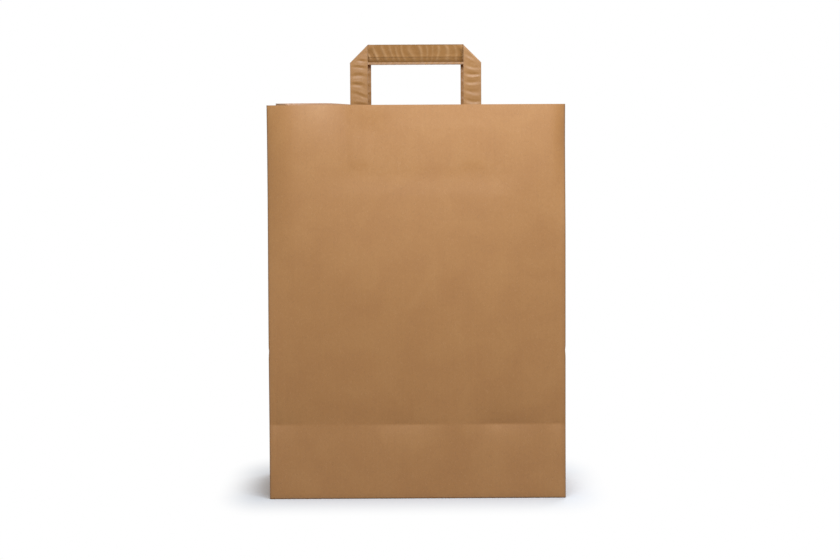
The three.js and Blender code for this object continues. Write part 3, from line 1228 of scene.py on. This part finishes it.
@dataclass(frozen=True)
class Softbox:
    """A softbox that the camera doesn't see, placed and sized in millimetres."""

    name: str
    place: Triple
    aim: Triple
    size: Pair
    power: float  # watts
    tint: Triple = (1.0, 1.0, 1.0)

    def hang(self) -> None:
        """Adds the lamp to the scene."""
        data = bpy.data.lights.new(self.name, "AREA")
        data.shape = "RECTANGLE"
        data.size, data.size_y = (side * MM for side in self.size)
        data.energy = self.power
        data.color = self.tint
        lamp = bpy.data.objects.new(self.name, data)
        lamp.location = Vector(self.place) * MM
        lamp.visible_camera = False
        lamp.rotation_euler = (Vector(self.aim) * MM - lamp.location).to_track_quat("-Z", "Y").to_euler()
        bpy.context.scene.collection.objects.link(lamp)


@dataclass
class Studio:
    """White floor and backdrop, a softbox above the front, a larger one behind, and the camera."""

    camera_place: Triple = (3.7, -2180.0, 414.9)
    camera_pitch: float = -3.86  # degrees
    camera_roll: float = -0.30
    lens: float = 84.09
    shift: float = -0.04
    clip_end: float = 100.0  # metres
    key: Softbox = Softbox(
        "key_softbox", (90.0, -500.0, 750.0), (30.0, -80.0, 420.0), (480.0, 280.0), 3.6, (0.94, 1.0, 1.09)
    )
    rear: Softbox = Softbox(
        "rear_softbox", (260.0, 900.0, 800.0), (0.0, 80.0, 220.0), (900.0, 600.0), 9.0
    )
    world_level: float = 0.48
    world_tint: Triple = (1.03, 0.99, 0.90)
    floor_size: float = 12000.0
    floor_drop: float = 0.2  # below the bag
    floor_roughness: float = 0.9
    floor_colour: str = "#E6EDF7"
    floor_shade: str = "#B8B8B8"  # what the floor throws back on to the bag
    shadow_middle: Triple = (-5.0, 10.0, 0.0)  # middle of the shadowed floor
    shadow_half: Triple = (160.0, 60.0, 1000.0)  # half its width and depth
    shadow_fade: Triple = (60.0, 130.0, 1000.0)  # round it, the floor fades to plain white

    def add_camera(self) -> None:
        """Sets the camera where the photograph was taken from."""
        camera = bpy.data.objects.new("camera", bpy.data.cameras.new("camera"))
        camera.data.lens = self.lens
        camera.data.shift_y = self.shift
        camera.data.clip_end = self.clip_end
        turn = Matrix.Rotation(math.radians(90.0 + self.camera_pitch), 4, "X")
        roll = Matrix.Rotation(math.radians(self.camera_roll), 4, "Z")
        camera.matrix_world = Matrix.Translation(Vector(self.camera_place) * MM) @ turn @ roll
        bpy.context.scene.collection.objects.link(camera)
        bpy.context.scene.camera = camera

    def seen_directly(self, tree: Tree, kinds: Sequence[str]) -> Socket:
        """Gives 1 for rays of the camera and of the kinds named, and 0 for rays that carry light.

        Args:
            tree: Node tree that gets the nodes.
            kinds: Outputs of Light Path that count as seen too.

        Returns:
            The socket that gives it.
        """
        path = add_node(tree, "ShaderNodeLightPath")
        seen = path.outputs["Is Camera Ray"]
        for kind in kinds:
            either = {0: seen, 1: path.outputs[kind]}
            seen = add_node(tree, "ShaderNodeMath", {"operation": "MAXIMUM"}, either).outputs[0]
        return seen

    def add_world(self) -> None:
        """Fills the studio with even light, behind a white backdrop."""
        world = bpy.data.worlds.new("studio")
        world.use_nodes = True
        bpy.context.scene.world = world
        tree = world.node_tree
        seen = self.seen_directly(tree, ("Is Glossy Ray", "Is Transmission Ray"))
        even = [self.world_level * part for part in self.world_tint]
        mixed = {"Factor": seen, "A": (*even, 1.0), "B": (1.0, 1.0, 1.0, 1.0)}
        level = add_node(tree, "ShaderNodeMix", IN_COLOUR, mixed).outputs["Result"]
        tree.links.new(level, tree.nodes["Background"].inputs["Color"])

    def add_floor(self) -> None:
        """Lays the floor, white to the camera, with the bag's shadow on it."""
        material = bpy.data.materials.new("white_floor")
        material.use_nodes = True
        tree = material.node_tree
        shader = tree.nodes["Principled BSDF"]
        seen = self.seen_directly(tree, ("Is Transmission Ray",))
        mixed = {"Factor": seen, "A": linear(self.floor_shade), "B": linear(self.floor_colour)}
        colour = add_node(tree, "ShaderNodeMix", IN_COLOUR, mixed).outputs["Result"]
        tree.links.new(colour, shader.inputs["Base Color"])
        shader.inputs["Roughness"].default_value = self.floor_roughness
        shader.inputs["Specular IOR Level"].default_value = 0.0

        # Distance from the shadowed middle of the floor, in shares of the fade
        away = add_node(tree, "ShaderNodeTexCoord").outputs["Object"]
        zero = (0.0, 0.0, 0.0)
        for operation, other in (
            ("SUBTRACT", self.shadow_middle),
            ("ABSOLUTE", zero),
            ("SUBTRACT", self.shadow_half),
            ("MAXIMUM", zero),
            ("DIVIDE", self.shadow_fade),
        ):
            sides = {0: away, 1: [part * MM for part in other]}
            away = add_node(tree, "ShaderNodeVectorMath", {"operation": operation}, sides).outputs[0]
        away = add_node(tree, "ShaderNodeVectorMath", {"operation": "LENGTH"}, {0: away}).outputs["Value"]
        smooth = {"interpolation_type": "SMOOTHSTEP"}
        faded = {"Value": away, "From Min": 0.0, "From Max": 1.0}
        faded = add_node(tree, "ShaderNodeMapRange", smooth, faded).outputs["Result"]
        share = add_node(tree, "ShaderNodeMath", {"operation": "MULTIPLY"}, {0: seen, 1: faded}).outputs[0]
        white = add_node(tree, "ShaderNodeEmission", {}, {"Color": (1.0, 1.0, 1.0, 1.0), "Strength": 1.0})
        layers = {0: share, 1: shader.outputs[0], 2: white.outputs[0]}
        surface = add_node(tree, "ShaderNodeMixShader", {}, layers)
        tree.links.new(surface.outputs[0], tree.nodes["Material Output"].inputs["Surface"])

        ground = bmesh.new()
        bmesh.ops.create_grid(ground, x_segments=1, y_segments=1, size=self.floor_size / 2.0)
        bmesh.ops.translate(ground, vec=(0.0, 0.0, -self.floor_drop), verts=ground.verts)
        finished(ground, "floor", material)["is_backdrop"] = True

    def build(self) -> None:
        """Sets up the whole studio."""
        self.add_camera()
        self.key.hang()
        self.rear.hang()
        self.add_world()
        self.add_floor()
        bpy.context.scene.view_settings.view_transform = "Standard"


def write_sizes() -> None:
    """Works out the CAD box and the visual model's box as plain numbers, without keeping them.
    """
    boxes = {"cad": cad_box, "visual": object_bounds()}
    {name: [list(corner) for corner in box] for name, box in boxes.items()}


def main() -> None:
    """Builds the studio, the bag's body, its handles and its patches in order."""
    logging.basicConfig(level=logging.INFO, format="%(name)s %(message)s")
    Studio().build()
    kraft = KraftPaper("machine_glazed_kraft").material()
    browns = {"body": "#9B6C36", "pale": "#A97A41", "dark": "#8C5E2B"}
    band = KraftPaper("folded_kraft_band", **browns, ior=1.58).material()

    low, high = (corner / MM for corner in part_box("bag_body"))
    depth = -2.0 * low.y
    crease_inset = BagBody.crease_inset
    crease_rise = math.sqrt((depth / 2.0) ** 2 - crease_inset**2)
    body = BagBody(high.x - low.x, depth, high.z - crease_rise + depth / 2.0)
    hand_over(body.build(kraft), "bag_body")

    handle_low, handle_high = (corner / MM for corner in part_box("front_handle"))
    mouth = body.front_mouth.z
    spans = (handle_high.x - handle_low.x, handle_high.z - mouth, mouth - handle_low.z)
    bars = {Side.FRONT: (17.0, 0.04, 1.4), Side.REAR: (22.0, 0.0, 0.0)}  # tilt, curl and gap
    for side, bar in bars.items():
        handle = Handle(side, *spans, *bar)
        panel = body.panel_matrix(side)
        hand_over(handle.build(panel, band), f"{side.value}_handle")
        patch = HandlePatch(side, handle, body)
        hand_over(patch.build(panel, kraft), f"{side.value}_handle_patch")
    write_sizes()


if __name__ == "__main__":
    main()
